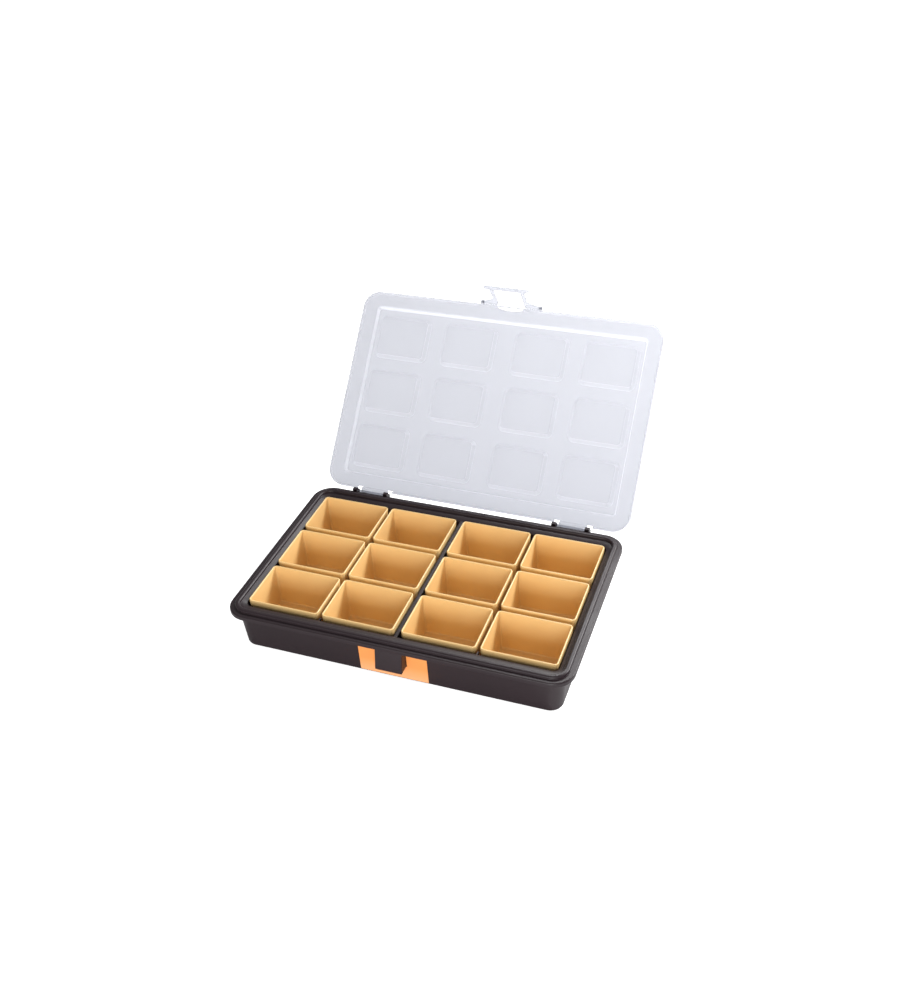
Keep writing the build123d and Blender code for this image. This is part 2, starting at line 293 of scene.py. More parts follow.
def draw_in(along_x, along_y):
    """Moves the sides of the picked face towards its middle, with its corner radius kept."""
    mesh = bmesh.from_edit_mesh(bpy.context.edit_object.data)
    mesh.verts.index_update()
    ring = {vert.index for vert in mesh.verts if vert.select}
    low, high = picked()
    middle = (low + high) / 2
    bpy.ops.mesh.select_mode(type="VERT")
    for axis, distance in ((0, along_x), (1, along_y)):
        for side in (-1, 1):
            mesh = bmesh.from_edit_mesh(bpy.context.edit_object.data)
            for vert in mesh.verts:
                vert.select_set(vert.index in ring and side * (vert.co[axis] - middle[axis]) > 0)
            bmesh.update_edit_mesh(bpy.context.edit_object.data)
            shift = Vector((0, 0, 0))
            shift[axis] = -side * distance
            bpy.ops.transform.translate(value=shift)
    mesh = bmesh.from_edit_mesh(bpy.context.edit_object.data)
    for vert in mesh.verts:
        vert.select_set(vert.index in ring)
    mesh.select_flush(True)
    bmesh.update_edit_mesh(bpy.context.edit_object.data)
    bpy.ops.mesh.select_mode(type="FACE")


def slab(name, length, width, low, high, corner):
    """A block over the origin with its upright corners rounded, in edit mode."""
    piece = block(name, (-length / 2, -width / 2, low), (length / 2, width / 2, high))
    pick("EDGE", lambda middle, way: abs(way.z) > ALONG)
    bpy.ops.mesh.bevel(offset=corner, segments=CORNER_STEPS, affect="EDGES")
    return piece


def whole():
    """The lowest and highest corner of the mesh in edit mode."""
    bpy.ops.mesh.select_all(action="SELECT")
    return picked()


def top_face():
    """Picks the highest level face."""
    _, high = whole()
    pick("FACE", lambda middle, normal: normal.z > ALONG and abs(middle.z - high.z) < LEVEL)


def under_face():
    """Picks the lowest level face."""
    low, _ = whole()
    pick("FACE", lambda middle, normal: normal.z < -ALONG and abs(middle.z - low.z) < LEVEL)


def cut_level(height):
    """Cuts the piece in edit mode across at a height."""
    bpy.ops.mesh.select_all(action="SELECT")
    bpy.ops.mesh.bisect(plane_co=(0, 0, height), plane_no=(0, 0, 1))


def copy_to(piece, name, place):
    """A copy of a piece with its own mesh, moved by its points."""
    copy = piece.copy()
    copy.data = piece.data.copy()
    copy.name = name
    copy.data.transform(Matrix.Translation(place))
    bpy.context.scene.collection.objects.link(copy)
    return copy


def middle_of(node):
    """Where a CAD node's middle stands, seen from above."""
    low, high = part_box(node)
    return Vector(((low.x + high.x) / 2, (low.y + high.y) / 2, 0))


def round_edges(piece, width, segments=3, angle=35):
    """Rounds the edges that are sharper than an angle."""
    deselect()
    piece.select_set(True)
    bpy.context.view_layer.objects.active = piece
    bevel = piece.modifiers.new("edge_round", "BEVEL")
    bevel.width = width
    bevel.segments = segments
    bevel.limit_method = "ANGLE"
    bevel.angle_limit = radians(angle)
    bpy.ops.object.modifier_apply(modifier=bevel.name)
    return piece


def tidy_cuts(piece):
    """Clears the slivers left where pieces were cut and added."""
    deselect()
    bpy.context.view_layer.objects.active = piece
    bpy.ops.object.mode_set(mode="EDIT")
    bpy.ops.mesh.select_all(action="SELECT")
    bpy.ops.mesh.remove_doubles(threshold=WELD)
    bpy.ops.mesh.dissolve_degenerate(threshold=NEAR)
    bpy.ops.mesh.normals_make_consistent(inside=False)
    deselect()
    return piece


def shade(piece, angle=40):
    """Shades a piece smooth across the edges under an angle, with its flats kept flat beside them."""
    deselect()
    piece.select_set(True)
    bpy.context.view_layer.objects.active = piece
    bpy.ops.object.shade_smooth_by_angle(angle=radians(angle))
    flats = piece.modifiers.new("flat_shading", "WEIGHTED_NORMAL")
    flats.keep_sharp = True
    bpy.ops.object.modifier_apply(modifier=flats.name)
    return piece


def join(pieces, name):
    """Joins pieces into one."""
    deselect()
    for piece in pieces:
        piece.select_set(True)
    bpy.context.view_layer.objects.active = pieces[0]
    bpy.ops.object.join()
    pieces[0].name = name
    return pieces[0]


def combine(piece, other, operation):
    """Adds another piece to the first, or cuts it away, and removes the other."""
    deselect()
    bpy.context.view_layer.objects.active = piece
    boolean = piece.modifiers.new("shape", "BOOLEAN")
    boolean.operation = operation
    boolean.solver = "EXACT"
    boolean.object = other
    bpy.ops.object.modifier_apply(modifier=boolean.name)
    bpy.data.objects.remove(other)


def dress(piece, body, node, material):
    """Sets a finished piece on its body in place of its CAD node, with its material."""
    piece.data.materials.clear()
    piece.data.materials.append(material)
    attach(piece, body)
    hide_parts(node)


# Materials

# Clear plastic: shares of milk and clear, the steep slopes with a painted highlight, and where faces begin.
# A slope is counted from 0, square to the sheet, to 1, level with it.
MILK_SHARE = 0.5
CLEAR_SHARE = 0.5
STEEP = (0.15, 0.35)
FACE_FROM = 0.6


def linear(code):
    """An sRGB hex colour as linear RGBA."""
    channels = [int(code[place : place + 2], 16) / 255 for place in (1, 3, 5)]
    return [c / 12.92 if c <= 0.04045 else ((c + 0.055) / 1.055) ** 2.4 for c in channels] + [1.0]


def add(tree, kind, settings=None, numbered=None, **named):
    """Adds a node with its settings, and links or sets its inputs by number or name."""
    node = tree.nodes.new(kind)
    for setting, value in (settings or {}).items():
        setattr(node, setting, value)
    inputs = {name.replace("_", " "): value for name, value in named.items()}
    for place, value in {**inputs, **(numbered or {})}.items():
        socket = node.inputs[place]
        if isinstance(value, bpy.types.NodeSocket):
            tree.links.new(value, socket)
        else:
            socket.default_value = value
    return node


def new_material(name):
    """An empty node material and its tree."""
    material = bpy.data.materials.new(name)
    material.use_nodes = True
    tree = material.node_tree
    tree.nodes.clear()
    return material, tree


def moulded_tray_plastic():
    """Black-brown polypropylene, injection moulded: a fine-grained satin skin with soft grey highlights."""
    material, tree = new_material("moulded_black_polypropylene")
    place = add(tree, "ShaderNodeTexCoord").outputs["Object"]
    flow = add(tree, "ShaderNodeTexNoise", Vector=place, Scale=1 / (40 * MM), Detail=3.0)

    # The mould's grain is finer than a tenth of a millimetre and is drawn coarser, so that it shows
    grain = add(tree, "ShaderNodeTexNoise", Vector=place, Scale=1 / (0.8 * MM), Detail=2.0)
    tone = add(tree, "ShaderNodeValToRGB", Fac=flow.outputs["Fac"])
    tone.color_ramp.elements[0].color = linear("#1F1519")
    tone.color_ramp.elements[1].color = linear("#2A1D22")
    rough = add(tree, "ShaderNodeMapRange", Value=flow.outputs["Fac"], To_Min=0.36, To_Max=0.5)
    bump = add(tree, "ShaderNodeBump", Height=grain.outputs["Fac"], Strength=0.15, Distance=0.05 * MM)
    shader = add(
        tree,
        "ShaderNodeBsdfPrincipled",
        Base_Color=tone.outputs["Color"],
        Roughness=rough.outputs["Result"],
        Normal=bump.outputs["Normal"],
        IOR=1.49,
        Specular_IOR_Level=0.4,
    )
    add(tree, "ShaderNodeOutputMaterial", Surface=shader.outputs["BSDF"])
    return material


def moulded_bin_plastic():
    """Amber polystyrene, injection moulded: smooth, between satin and gloss, slightly uneven in tone."""
    material, tree = new_material("moulded_amber_polystyrene")
    place = add(tree, "ShaderNodeTexCoord").outputs["Object"]
    flow = add(tree, "ShaderNodeTexNoise", Vector=place, Scale=1 / (30 * MM), Detail=3.0)

    # The polished mould leaves only a faint unevenness, drawn coarser than it is, so that it shows
    grain = add(tree, "ShaderNodeTexNoise", Vector=place, Scale=1 / (1.2 * MM), Detail=2.0)
    tone = add(tree, "ShaderNodeValToRGB", Fac=flow.outputs["Fac"])
    tone.color_ramp.elements[0].color = linear("#E4BD7F")
    tone.color_ramp.elements[1].color = linear("#EDC98B")
    rough = add(tree, "ShaderNodeMapRange", Value=flow.outputs["Fac"], To_Min=0.3, To_Max=0.42)
    bump = add(tree, "ShaderNodeBump", Height=grain.outputs["Fac"], Strength=0.1, Distance=0.04 * MM)
    shader = add(
        tree,
        "ShaderNodeBsdfPrincipled",
        Base_Color=tone.outputs["Color"],
        Roughness=rough.outputs["Result"],
        Normal=bump.outputs["Normal"],
        IOR=1.55,
    )
    add(tree, "ShaderNodeOutputMaterial", Surface=shader.outputs["BSDF"])
    return material


def clear_plastic(name, face, slope_highlight):
    """Natural polypropylene, moulded thin: clear but milky, satin-skinned, with a painted highlight on steep
    slopes.
    """
    material, tree = new_material(name)
    coordinates = add(tree, "ShaderNodeTexCoord")
    place = coordinates.outputs["Object"]
    haze = add(tree, "ShaderNodeTexNoise", Vector=place, Scale=1 / (25 * MM), Detail=3.0)

    # The skin's grain is finer than a tenth of a millimetre and is drawn coarser, so that it shows
    grain = add(tree, "ShaderNodeTexNoise", Vector=place, Scale=1 / (1.0 * MM), Detail=2.0)
    rough = add(tree, "ShaderNodeMapRange", Value=haze.outputs["Fac"], To_Min=0.28, To_Max=0.4)
    bump = add(tree, "ShaderNodeBump", Height=grain.outputs["Fac"], Strength=0.12, Distance=0.05 * MM)

    # Painted highlight: the sheet's steep slopes, looked along, gather light, so they are coloured whiter
    lid_up = lid_place.to_3x3() @ Vector((0, 0, 1))
    facing = {0: coordinates.outputs["Normal"], 1: lid_up}
    level = add(tree, "ShaderNodeVectorMath", {"operation": "DOT_PRODUCT"}, facing)
    flat = add(tree, "ShaderNodeMath", {"operation": "ABSOLUTE"}, {0: level.outputs["Value"]})
    tone = add(tree, "ShaderNodeValToRGB", Fac=flat.outputs["Value"])
    tone.color_ramp.elements[0].color = linear(face)
    tone.color_ramp.elements[1].position = FACE_FROM
    tone.color_ramp.elements[1].color = linear(face)
    for position in STEEP:
        tone.color_ramp.elements.new(position).color = linear(slope_highlight)
    shader = add(
        tree,
        "ShaderNodeBsdfPrincipled",
        Base_Color=tone.outputs["Color"],
        Roughness=rough.outputs["Result"],
        Normal=bump.outputs["Normal"],
        Transmission_Weight=0.4,
        IOR=1.49,
    )
    milk = add(tree, "ShaderNodeBsdfTranslucent", Color=tone.outputs["Color"])
    both = {1: shader.outputs["BSDF"], 2: milk.outputs["BSDF"]}
    cloud = add(tree, "ShaderNodeMixShader", numbered=both, Fac=MILK_SHARE)
    clear = add(tree, "ShaderNodeBsdfTransparent", Color=linear("#F4F5F9"))
    both = {1: cloud.outputs["Shader"], 2: clear.outputs["BSDF"]}
    sheet = add(tree, "ShaderNodeMixShader", numbered=both, Fac=CLEAR_SHARE)
    add(tree, "ShaderNodeOutputMaterial", Surface=sheet.outputs["Shader"])
    return material


def printed_label_film():
    """Orange printed vinyl film, paler towards its foot, with a satin laminate."""
    material, tree = new_material("orange_vinyl_film")
    place = add(tree, "ShaderNodeTexCoord").outputs["Object"]
    parts = add(tree, "ShaderNodeSeparateXYZ", Vector=place)
    fade = add(tree, "ShaderNodeMapRange", Value=parts.outputs["Z"], From_Min=3 * MM, From_Max=16 * MM)
    mottle = add(tree, "ShaderNodeTexNoise", Vector=place, Scale=1 / (3 * MM), Detail=3.0)
    tone = add(tree, "ShaderNodeValToRGB", Fac=fade.outputs["Result"])
    tone.color_ramp.elements[0].color = linear("#F7B27C")
    tone.color_ramp.elements[1].color = linear("#F29A52")
    rough = add(tree, "ShaderNodeMapRange", Value=mottle.outputs["Fac"], To_Min=0.35, To_Max=0.5)
    shader = add(
        tree,
        "ShaderNodeBsdfPrincipled",
        Base_Color=tone.outputs["Color"],
        Roughness=rough.outputs["Result"],
    )
    add(tree, "ShaderNodeOutputMaterial", Surface=shader.outputs["BSDF"])
    return material


tray_plastic = moulded_tray_plastic()
bin_plastic = moulded_bin_plastic()
# The second colour of each clear plastic is a painted highlight on its steep slopes
lid_plastic = clear_plastic("clear_milky_polypropylene", face="#A9AAAF", slope_highlight="#D2D3D7")
latch_plastic = clear_plastic("clear_thin_polypropylene", face="#A3A4AA", slope_highlight="#ADAEB3")
label_film = printed_label_film()

finishes = {"lid": lid_plastic, "latch": latch_plastic, "front_label": label_film, "tray": tray_plastic}
for name, node in frame["nodes"].items():
    node.data.materials.clear()
    node.data.materials.append(finishes.get(name, bin_plastic))


# The pieces


def shape_tray():
    """The tray: flanged rim with its ridge, drafted walls, partition, ribs, lugs and catch."""
    skirt_foot = RIM_HEIGHT - SKIRT_DROP
    ridge_top = RIM_HEIGHT + RIDGE_RISE
    shelf_under = RIM_HEIGHT - RIM_PLATE
    skirt_side = skirt_foot + SKIRT_ROUND
    rim_side = RIM_HEIGHT - RIM_ROUND
    draft = WALL_INSET_FOOT - WALL_INSET_TOP
    tray = slab("moulded_tray", TRAY_LENGTH, TRAY_WIDTH, skirt_side, rim_side, RIM_CORNER)

    # Skirt, groove behind it, drafted outer walls and rounded foot
    under_face()
    groove = WALL_INSET_TOP - GROOVE_ROUND
    walk(
        (0, skirt_side),
        *quarter((0, skirt_side), (SKIRT_ROUND, skirt_foot), True),
        (SKIRT_WALL, skirt_foot),
        facing=-1,
    )
    grow(shelf_under - skirt_foot)
    walk(
        (SKIRT_WALL, shelf_under),
        (groove, shelf_under),
        *quarter((groove, shelf_under), (WALL_INSET_TOP, shelf_under - GROOVE_ROUND), False),
        facing=-1,
    )
    grow(FOOT_ROUND - shelf_under + GROOVE_ROUND)
    draw_in(draft, draft)
    walk((0, FOOT_ROUND), *quarter((0, FOOT_ROUND), (FOOT_ROUND, 0), True), facing=-1)

    # Rim, ridge and sloping shoulder, from the outer edge in to the shelf round the bins
    top_face()
    ridge_inner = RIDGE_INSET + RIDGE_WIDTH
    shelf_edge = RIM_HEIGHT - SHELF_DIP
    walk(
        (0, rim_side),
        *quarter((0, rim_side), (RIM_ROUND, RIM_HEIGHT), True),
        (RIDGE_INSET - RIDGE_FOOT, RIM_HEIGHT),
        *quarter((RIDGE_INSET - RIDGE_FOOT, RIM_HEIGHT), (RIDGE_INSET, RIM_HEIGHT + RIDGE_FOOT), False),
        *quarter((RIDGE_INSET, ridge_top - RIDGE_ROUND), (RIDGE_INSET + RIDGE_ROUND, ridge_top), True),
        (ridge_inner - RIDGE_ROUND, ridge_top),
        *quarter((ridge_inner - RIDGE_ROUND, ridge_top), (ridge_inner, ridge_top - RIDGE_ROUND), False),
        *quarter((ridge_inner, RIM_HEIGHT + RIDGE_FOOT), (ridge_inner + RIDGE_FOOT, RIM_HEIGHT), True),
    )
    grow()
    draw_in(0, WELL_INSET_END - WELL_INSET_SIDE)
    well_edge = WELL_INSET_SIDE - WELL_ROUND
    walk(
        (ridge_inner + RIDGE_FOOT, RIM_HEIGHT),
        (well_edge, shelf_edge),
        *quarter((well_edge, shelf_edge), (WELL_INSET_SIDE, shelf_edge - WELL_ROUND), False),
        (WELL_INSET_SIDE, shelf_under - LIP_DROP),
    )

    # Back under the shelf, down the inner walls and over the floor
    grow()
    draw_in(-LIP_WALL, -LIP_WALL)
    grow(LIP_DROP)
    grow()
    wall_from_lip = WALL_INSET_TOP + INNER_WALL + LIP_WALL
    draw_in(wall_from_lip - WELL_INSET_SIDE, wall_from_lip - WELL_INSET_END)
    grow(FLOOR + FLOOR_ROUND - shelf_under)
    draw_in(draft, draft)
    walk((0, FLOOR + FLOOR_ROUND), *quarter((0, FLOOR + FLOOR_ROUND), (FLOOR_ROUND, FLOOR), True))

    # Centre partition and short ribs, sunk in the walls and floor
    inside = TRAY_WIDTH / 2 - WALL_INSET_FOOT - WALL / 2
    half = PARTITION_WALL / 2
    partition = block("partition", (-half, -inside, FLOOR / 2), (half, inside, PARTITION_TOP))
    round_edges(partition, PARTITION_ROUND)
    ribs = []
    for line in RIB_LINES:
        for side in (-1, 1):
            near, far = sorted((side * (TRAY_WIDTH / 2 - WELL_INSET_END - RIB_REACH), side * inside))
            rib = block("rib", (line - RIB_WALL / 2, near, FLOOR / 2), (line + RIB_WALL / 2, far, RIB_TOP))
            ribs.append(round_edges(rib, RIB_ROUND))

    # One seat rib frame on the floor, copied under every bin
    low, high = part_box(bin_names[0])
    inner = Vector(((high.x - low.x) / 2, (high.y - low.y) / 2)) - Vector((1, 1)) * SEAT_INSET
    outer = inner + Vector((1, 1)) * SEAT_WALL
    seat = block("seat_rib", (*-outer, FLOOR / 2), (*outer, FLOOR + SEAT_HEIGHT))
    top_face()
    bpy.ops.mesh.inset(thickness=SEAT_WALL)
    grow(-SEAT_HEIGHT - FLOOR / 4)
    round_edges(seat, SEAT_ROUND)
    seats = [copy_to(seat, name.replace("bin", "seat_rib"), middle_of(name)) for name in bin_names]
    bpy.data.objects.remove(seat)

    # Catch: a ramp down the front, with a lip that the latch's bar snaps under
    front = -(TRAY_WIDTH / 2 - CATCH_TOP_INSET)
    root = -(TRAY_WIDTH / 2 - WALL_INSET_FOOT)
    catch = block("catch", (-CATCH_HALF, front, CATCH_LIP), (CATCH_HALF, root, shelf_under))
    for height in (CATCH_LIP + CATCH_LIP_LAND, skirt_foot):
        cut_level(height)
    lip_over = CATCH_LIP + 2 * CATCH_LIP_LAND
    pick("VERT", lambda place, normal: place.y < front + NEAR and place.z < lip_over)
    bpy.ops.transform.translate(value=(0, -CATCH_TOP_INSET - CATCH_LIP_REACH, 0))
    round_edges(catch, CATCH_ROUND, segments=4)

    # One hinge lug with its bore, copied to its four places
    lug = block(
        "hinge_lug",
        (-LUG_WIDTH / 2, TRAY_WIDTH / 2 - LUG_ROOT, hinge_at.z - LUG_RADIUS / 3),
        (LUG_WIDTH / 2, hinge_at.y, LUG_TOP),
    )
    corner = Vector((hinge_at.y, LUG_TOP))
    pick("EDGE", lambda middle, way: abs(way.x) > ALONG and (middle.yz - corner).length < NEAR)
    bpy.ops.mesh.bevel(offset=LUG_RADIUS / 2, segments=ROUND_STEPS, affect="EDGES")
    combine(lug, rod("lug_barrel", LUG_RADIUS, -LUG_WIDTH / 2, LUG_WIDTH / 2, hinge_at.yz), "UNION")
    combine(lug, rod("lug_bore", LUG_BORE, -LUG_WIDTH, LUG_WIDTH, hinge_at.yz), "DIFFERENCE")
    round_edges(lug, LUG_ROUND, angle=50)
    lugs = []
    for centre in hinge_centres:
        for side in (-1, 1):
            place = Vector((centre + side * LUG_SPACING / 2, 0, 0))
            lugs.append(copy_to(lug, f"hinge_lug_{len(lugs)}", place))
    bpy.data.objects.remove(lug)
    return shade(join([tray, partition, *ribs, *seats, catch, *lugs], "moulded_tray"))


def shape_bin():
    """A storage bin over the origin: soft rim, tapered walls, rounded foot and floor."""
    low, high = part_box(bin_names[0])
    length, width = high.x - low.x, high.y - low.y
    land = BIN_RIM - BIN_LAND
    rim_side = BIN_RIM - BIN_RIM_ROUND
    storage_bin = slab("storage_bin", length, width, land, rim_side, BIN_CORNER)
    wall_run = BIN_DRAFT / (BIN_RIM - FLOOR)

    # Outside, from under the rim's land to the foot
    under_face()
    foot = FLOOR + BIN_FOOT_ROUND
    grow(foot - land)
    draw_in((land - foot) * wall_run, (land - foot) * wall_run)
    walk((0, foot), *quarter((0, foot), (BIN_FOOT_ROUND, FLOOR), True), facing=-1)

    # Rim, then down inside and over the floor
    top_face()
    inner_edge = BIN_WALL - BIN_RIM_ROUND
    walk(
        (0, rim_side),
        *quarter((0, rim_side), (BIN_RIM_ROUND, BIN_RIM), True),
        (inner_edge, BIN_RIM),
        *quarter((inner_edge, BIN_RIM), (BIN_WALL, rim_side), False),
    )
    inner_floor = FLOOR + BIN_FLOOR
    inner_foot = inner_floor + BIN_INNER_ROUND
    grow(inner_foot - rim_side)
    draw_in((rim_side - inner_foot) * wall_run, (rim_side - inner_foot) * wall_run)
    walk((0, inner_foot), *quarter((0, inner_foot), (BIN_INNER_ROUND, inner_floor), True))
    return shade(storage_bin)


def shape_lid():
    """The clear lid in its closed place: a thin moulded sheet, then its arms, pins and ears."""
    length, width = TRAY_LENGTH - 2 * LID_EDGE_INSET, TRAY_WIDTH - 2 * LID_EDGE_INSET
    panel_top = LID_BORDER_TOP + LID_RISE
    border_under = LID_BORDER_TOP - LID_WALL
    panel_under = panel_top - LID_WALL
    side_foot = LID_FOOT + LID_FOOT_ROUND
    side_top = LID_BORDER_TOP - LID_ROUND
    lid = slab("clear_lid", length, width, side_foot, side_top, LID_CORNER)

    # Top: rounded edge, flat border, and the raised panel's sloping edge
    top_face()
    edge = LID_RAISED_INSET - LID_RISE_SLOPE

    # An even inset shrinks the corner's round, so past this one the sides are drawn in instead
    even = LID_CORNER - LID_RAISED_CORNER
    walk(
        (0, side_top),
        *quarter((0, side_top), (LID_ROUND, LID_BORDER_TOP), True),
        (even, LID_BORDER_TOP),
    )
    grow()
    draw_in(edge - LID_ROUND - even, edge - LID_ROUND - even)
    walk(
        (edge - LID_ROUND, LID_BORDER_TOP),
        *quarter((edge - LID_ROUND, LID_BORDER_TOP), (edge, LID_BORDER_TOP + LID_ROUND), False),
    )
    grow(LID_RISE - 2 * LID_ROUND)
    draw_in(LID_RISE_SLOPE, LID_RISE_SLOPE)
    slope_end = panel_top - LID_ROUND
    walk((0, slope_end), *quarter((0, slope_end), (LID_ROUND, panel_top), True))

    # Underside: the skirt's foot, then in under the border and up inside the raised edge
    under_face()
    edge += LID_WALL
    even = LID_CORNER - LID_RAISED_CORNER + LID_WALL
    walk(
        (0, side_foot),
        *quarter((0, side_foot), (LID_FOOT_ROUND, LID_FOOT), True),
        (LID_WALL - LID_FOOT_ROUND, LID_FOOT),
        *quarter((LID_WALL - LID_FOOT_ROUND, LID_FOOT), (LID_WALL, side_foot), False),
        (LID_WALL, border_under - LID_ROUND),
        *quarter((LID_WALL, border_under - LID_ROUND), (LID_WALL + LID_ROUND, border_under), True),
        (even, border_under),
        facing=-1,
    )
    grow()
    draw_in(edge - LID_ROUND - even, edge - LID_ROUND - even)
    walk(
        (edge - LID_ROUND, border_under),
        *quarter((edge - LID_ROUND, border_under), (edge, border_under + LID_ROUND), False),
        facing=-1,
    )
    grow(LID_RISE - 2 * LID_ROUND)
    draw_in(LID_RISE_SLOPE, LID_RISE_SLOPE)
    slope_end = panel_under - LID_ROUND
    walk((0, slope_end), *quarter((0, slope_end), (LID_ROUND, panel_under), True), facing=-1)

    # One dished pad and its hollow, each flared into the panel, copied over every bin
    low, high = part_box(bin_names[0])
    length_at_panel = high.x - low.x - 2 * PAD_INSET_SIDE
    width_at_panel = high.y - low.y - 2 * PAD_INSET_END
    shapes = []
    for name, wall, start, foot in (
        ("lid_pad", 0, panel_under, PAD_FACE),
        ("pad_hollow", LID_WALL, panel_top, PAD_FACE + LID_WALL),
    ):
        grown = 2 * (LID_ROUND - wall)
        shape = slab(
            name,
            length_at_panel + grown,
            width_at_panel + grown,
            start + PAD_OVERLAP,
            start + LID_WALL / 2,
            PAD_CORNER + LID_ROUND - wall,
        )
        under_face()
        walk(
            (0, start + PAD_OVERLAP),
            *quarter((0, start + PAD_OVERLAP), (LID_ROUND, start - LID_ROUND), False),
            (PAD_SLOPE, foot + LID_ROUND),
            *quarter((PAD_SLOPE, foot + LID_ROUND), (PAD_SLOPE + LID_ROUND, foot), True),
            facing=-1,
        )
        deselect()
        copies = [copy_to(shape, f"{name}_{place}", middle_of(place)) for place in bin_names]
        shapes.append(join(copies, name))
        bpy.data.objects.remove(shape)
    combine(lid, shapes[0], "UNION")
    combine(lid, shapes[1], "DIFFERENCE")

    # Notches round the tray's lugs and the finger scallop at the front
    half_width = width / 2
    for centre in hinge_centres:
        for side in (-1, 1):
            middle = centre + side * LUG_SPACING / 2
            reach = LUG_WIDTH / 2 + NOTCH_CLEARANCE
            notch = block(
                "notch",
                (middle - reach, half_width - NOTCH_DEPTH, LID_FOOT - MM),
                (middle + reach, half_width + MM, LID_BORDER_TOP + MM),
            )
            combine(lid, notch, "DIFFERENCE")
    radius = ((SCALLOP_WIDTH / 2) ** 2 + SCALLOP_DEPTH**2) / (2 * SCALLOP_DEPTH)
    deselect()
    scallop_at = (0, -half_width + SCALLOP_DEPTH - radius, LID_BORDER_TOP)
    bpy.ops.mesh.primitive_cylinder_add(
        vertices=SCALLOP_SIDES, radius=radius, depth=SCALLOP_CUT, location=scallop_at
    )
    combine(lid, bpy.context.object, "DIFFERENCE")

    # Hinge arms, knuckles and pins
    arm_half = (LUG_SPACING - LUG_WIDTH) / 2 - KNUCKLE_GAP
    outer = hinge_at.y + KNUCKLE_RADIUS
    for centre in hinge_centres:
        ends = (centre - arm_half, centre + arm_half)
        arm = round_edges(
            block(
                "hinge_arm",
                (ends[0] + SEAM, half_width - LID_WALL / 2, LID_FOOT + SEAM),
                (ends[1] - SEAM, outer - SEAM, LID_FOOT + ARM_WALL),
            ),
            ARM_ROUND,
        )
        drop = round_edges(
            block(
                "hinge_drop",
                (ends[0] + 2 * SEAM, outer - ARM_WALL, hinge_at.z - ARM_ROUND),
                (ends[1] - 2 * SEAM, outer - 2 * SEAM, LID_FOOT + ARM_WALL - SEAM),
            ),
            ARM_ROUND,
        )
        knuckle = round_edges(rod("knuckle", KNUCKLE_RADIUS, *ends, hinge_at.yz), ARM_ROUND)
        reach = arm_half + KNUCKLE_GAP + PIN_REACH
        pin = rod("hinge_pin", PIN_RADIUS, centre - reach, centre + reach, hinge_at.yz)
        combine(arm, drop, "UNION")
        combine(arm, knuckle, "UNION")
        combine(arm, pin, "UNION")
        combine(lid, arm, "UNION")

    # Ears that hold the latch's pins
    at = latch_closed_at
    ear_inner = LATCH_FOOT + LATCH_EAR_GAP
    for side in (-1, 1):
        ends = sorted((side * ear_inner, side * (ear_inner + EAR_WALL)))
        ear = round_edges(rod("latch_ear", EAR_RADIUS, *ends, at.yz), EAR_ROUND)
        root = round_edges(
            block(
                "ear_root",
                (ends[0] + SEAM, at.y - EAR_ROUND, at.z - EAR_RADIUS + SEAM),
                (ends[1] - SEAM, -half_width + LID_WALL / 2, at.z + EAR_RADIUS - SEAM),
            ),
            EAR_ROUND,
        )
        combine(ear, root, "UNION")
        bore = rod("ear_bore", LATCH_PIN + LATCH_PIN_FIT, ends[0] - MM, ends[1] + MM, at.yz)
        combine(ear, bore, "DIFFERENCE")
        combine(lid, ear, "UNION")
    shade(tidy_cuts(lid), CRISP_ANGLE)
    lid.data.transform(lid_place)
    return lid


def shape_latch():
    """The latch: legs, bar, barrels and pins, hung from the origin and then put at its pivot."""
    half = LATCH_PLATE / 2
    leg_outer = LATCH_WINDOW / 2 + LATCH_LEG
    bar_middle = -LATCH_WINDOW_LENGTH - LATCH_BAR_WIDTH / 2
    outer = leg_outer - NEAR
    inner = LATCH_WINDOW / 2 + NEAR
    legs = []
    for side in (-1, 1):
        ends = sorted((side * LATCH_WINDOW / 2, side * leg_outer))
        leg = block("latch_leg", (ends[0], -half, bar_middle), (ends[1], half, 0))
        for height in (-2 * LATCH_FLARE, -LATCH_FLARE, -LATCH_FLARE / 2):
            cut_level(height)

        # The outer side flares out in two steps and the inner side in one
        outwards = side * (LATCH_FOOT - leg_outer)
        pick("VERT", lambda place, normal: side * place.x > outer and place.z > -LATCH_FLARE / 2 - NEAR)
        bpy.ops.transform.translate(value=(outwards, 0, 0))
        pick("VERT", lambda place, normal: side * place.x > outer and abs(place.z + LATCH_FLARE) < NEAR)
        bpy.ops.transform.translate(value=(outwards * LATCH_FLARE_SHARE, 0, 0))
        pick("VERT", lambda place, normal: side * place.x < inner and place.z > -NEAR)
        bpy.ops.transform.translate(value=(side * (LATCH_FOOT_INNER - LATCH_WINDOW / 2), 0, 0))
        legs.append(round_edges(leg, LATCH_ROUND, angle=40))
    latch = block(
        "finger_bar",
        (-LATCH_BAR_LENGTH / 2, -half, bar_middle - LATCH_BAR_WIDTH / 2),
        (LATCH_BAR_LENGTH / 2, half, bar_middle + LATCH_BAR_WIDTH / 2),
    )
    pick("EDGE", lambda middle, way: abs(way.y) > ALONG)
    bpy.ops.mesh.bevel(offset=LATCH_BAR_CORNER, segments=BAR_STEPS, affect="EDGES")
    round_edges(latch, LATCH_ROUND, angle=40)
    for leg in legs:
        combine(latch, leg, "UNION")
    for side in (-1, 1):
        ends = sorted((side * LATCH_FOOT_INNER, side * LATCH_FOOT))
        combine(latch, rod("latch_barrel", LATCH_BARREL, *ends, (0, 0)), "UNION")
        ends = sorted((side * (LATCH_FOOT - MM), side * (LATCH_FOOT + LATCH_EAR_GAP + EAR_WALL)))
        combine(latch, rod("latch_pin", LATCH_PIN, *ends, (0, 0)), "UNION")
    shade(tidy_cuts(latch), CRISP_ANGLE)
    latch.name = "latch_loop"
    latch.data.transform(latch_place)
    return latch


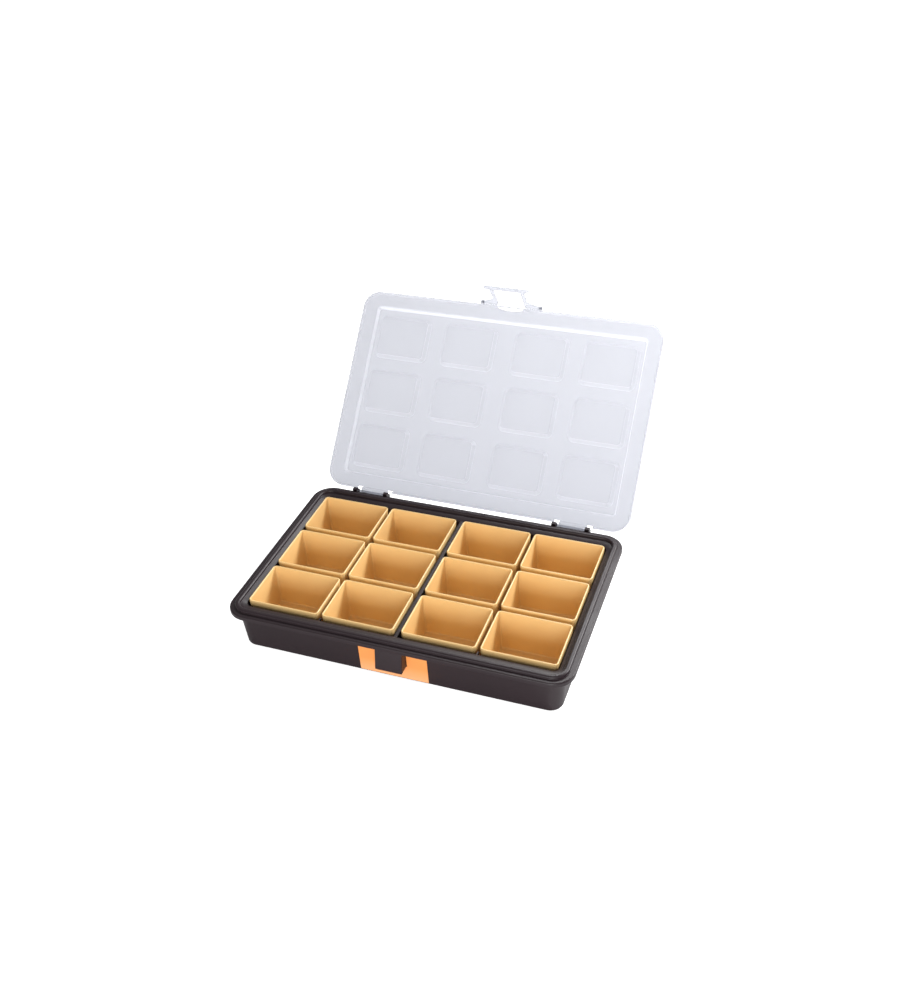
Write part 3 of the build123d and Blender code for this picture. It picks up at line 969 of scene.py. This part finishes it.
dress(shape_tray(), "tray", "tray", tray_plastic)
dress(shape_lid(), "lid", "lid", lid_plastic)
dress(shape_latch(), "latch", "latch", latch_plastic)
pattern = shape_bin()
for name in bin_names:
    dress(copy_to(pattern, f"storage_{name}", middle_of(name)), name, name, bin_plastic)
bpy.data.objects.remove(pattern)


# Camera, fitted to the photograph's corners of the tray, the bins and the lid
CAMERA_AT = Vector((286.8, -684.5, 635.3)) * MM
CAMERA_YAW = radians(-21.24)
CAMERA_DOWN = radians(35.135)
CAMERA_ROLL = radians(-2.784)
FOCAL_PIXELS = 1137.3
FRAME_HEIGHT_PIXELS = 1000
SENSOR = 36.0

camera = bpy.data.objects.new("camera", bpy.data.cameras.new("camera"))
bpy.context.scene.collection.objects.link(camera)
camera.data.sensor_width = SENSOR
camera.data.lens = SENSOR * FOCAL_PIXELS / FRAME_HEIGHT_PIXELS
camera.matrix_world = (
    Matrix.Translation(CAMERA_AT)
    @ Matrix.Rotation(-CAMERA_YAW, 4, "Z")
    @ Matrix.Rotation(pi / 2 - CAMERA_DOWN, 4, "X")
    @ Matrix.Rotation(CAMERA_ROLL, 4, "Z")
)
bpy.context.scene.camera = camera

# Floor, world and lamps: a soft lamp at the back right, a weaker one in front and a small one behind
FLOOR_SIZE = 8
LAMP_AIM = (0, 0, 0.03)

deselect()
bpy.ops.mesh.primitive_plane_add(size=FLOOR_SIZE)
floor = bpy.context.object
floor.name = "studio_floor"

# White card that glows to the eye alone, so it looks white, keeps the shadow and lights nothing more
floor_material, tree = new_material("white_floor")
rays = add(tree, "ShaderNodeLightPath")
card = add(tree, "ShaderNodeBsdfDiffuse", Color=linear("#F4F4F4"))
glow = add(tree, "ShaderNodeEmission", Color=linear("#FFFFFF"), Strength=0.72)
lit = add(tree, "ShaderNodeAddShader", numbered={0: card.outputs["BSDF"], 1: glow.outputs["Emission"]})
both = {1: card.outputs["BSDF"], 2: lit.outputs["Shader"]}
seen = add(tree, "ShaderNodeMixShader", numbered=both, Fac=rays.outputs["Is Camera Ray"])
add(tree, "ShaderNodeOutputMaterial", Surface=seen.outputs["Shader"])
floor.data.materials.append(floor_material)

# Soft light from all round, and plain white behind the object
world = bpy.data.worlds.new("studio")
bpy.context.scene.world = world
world.use_nodes = True
tree = world.node_tree
tree.nodes.clear()
rays = add(tree, "ShaderNodeLightPath")
soft = add(tree, "ShaderNodeBackground", Color=linear("#FFFFFF"), Strength=0.36)
white = add(tree, "ShaderNodeBackground", Color=linear("#FFFFFF"), Strength=1.0)
both = {1: soft.outputs["Background"], 2: white.outputs["Background"]}
seen = add(tree, "ShaderNodeMixShader", numbered=both, Fac=rays.outputs["Is Camera Ray"])
add(tree, "ShaderNodeOutputWorld", Surface=seen.outputs["Shader"])


def lamp(name, at, aim, size, watts):
    """A soft square lamp that faces a point."""
    light = bpy.data.objects.new(name, bpy.data.lights.new(name, "AREA"))
    bpy.context.scene.collection.objects.link(light)
    light.data.size = size
    light.data.energy = watts
    light.location = at
    light.rotation_euler = (Vector(aim) - Vector(at)).to_track_quat("-Z", "Y").to_euler()


lamp("key", at=(0.9, 0.9, 0.85), aim=LAMP_AIM, size=0.5, watts=27)
lamp("fill", at=(0.3, -1.35, 0.3), aim=LAMP_AIM, size=0.8, watts=18)
lamp("back", at=(-0.07, 0.95, 0.84), aim=(0.14, 0, 0.04), size=0.25, watts=6)

bpy.context.scene.view_settings.view_transform = "Standard"
